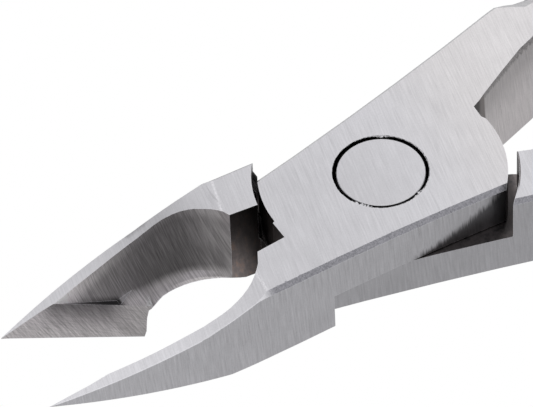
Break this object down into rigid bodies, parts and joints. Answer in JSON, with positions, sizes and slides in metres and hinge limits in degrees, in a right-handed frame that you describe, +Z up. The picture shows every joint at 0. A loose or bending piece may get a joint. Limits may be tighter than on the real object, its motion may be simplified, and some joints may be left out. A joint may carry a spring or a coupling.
{
  "type": "nippers",
  "caption": "Lap-jointed hand nippers with slim pointed cutting jaws, a flush riveted pivot, two interlocked leaf return springs and dipped grips.",
  "frame": {"origin": "on the pivot axis, in the plane of the joint block's underside", "axes": "+X from the pivot towards the handles, along the length; +Y towards the jaw of the lower-lap half; +Z up along the pivot axis, towards the rivet's flush head"},
  "size_m": [0.1212, 0.0446, 0.0101],
  "materials": {
    "half_a_steel": "ground and brushed across the tool, satin",
    "half_b_steel": "ground and brushed across the tool, satin",
    "rivet_steel": "ground flush and brushed",
    "collar_steel": "turned",
    "spring_a_steel": "rolled spring steel, slightly polished",
    "spring_b_steel": "rolled spring steel, slightly polished",
    "screw_a_steel": "turned",
    "screw_b_steel": "turned",
    "grip_a_vinyl": "dipped vinyl, satin",
    "grip_b_vinyl": "dipped vinyl, satin"
  },
  "bodies": {
    "half_a": {"half_a_upper_lap": "half_a_steel", "leaf_spring_a": "spring_a_steel", "spring_screw_a": "screw_a_steel", "grip_a": "grip_a_vinyl"},
    "half_b": {"half_b_lower_lap": "half_b_steel", "pivot_rivet": "rivet_steel", "rivet_collar": "collar_steel", "leaf_spring_b": "spring_b_steel", "spring_screw_b": "screw_b_steel", "grip_b": "grip_b_vinyl"}
  },
  "joints": [
    {"name": "pivot", "type": "hinge", "parent": "half_a", "child": "half_b", "pos_m": [0, 0, 0], "axis": [0, 0, 1], "range_deg": [-4, 14.2], "stiffness_Nm_per_rad": 1.2, "deforming": ["leaf_spring_a", "leaf_spring_b"]}
  ]
}
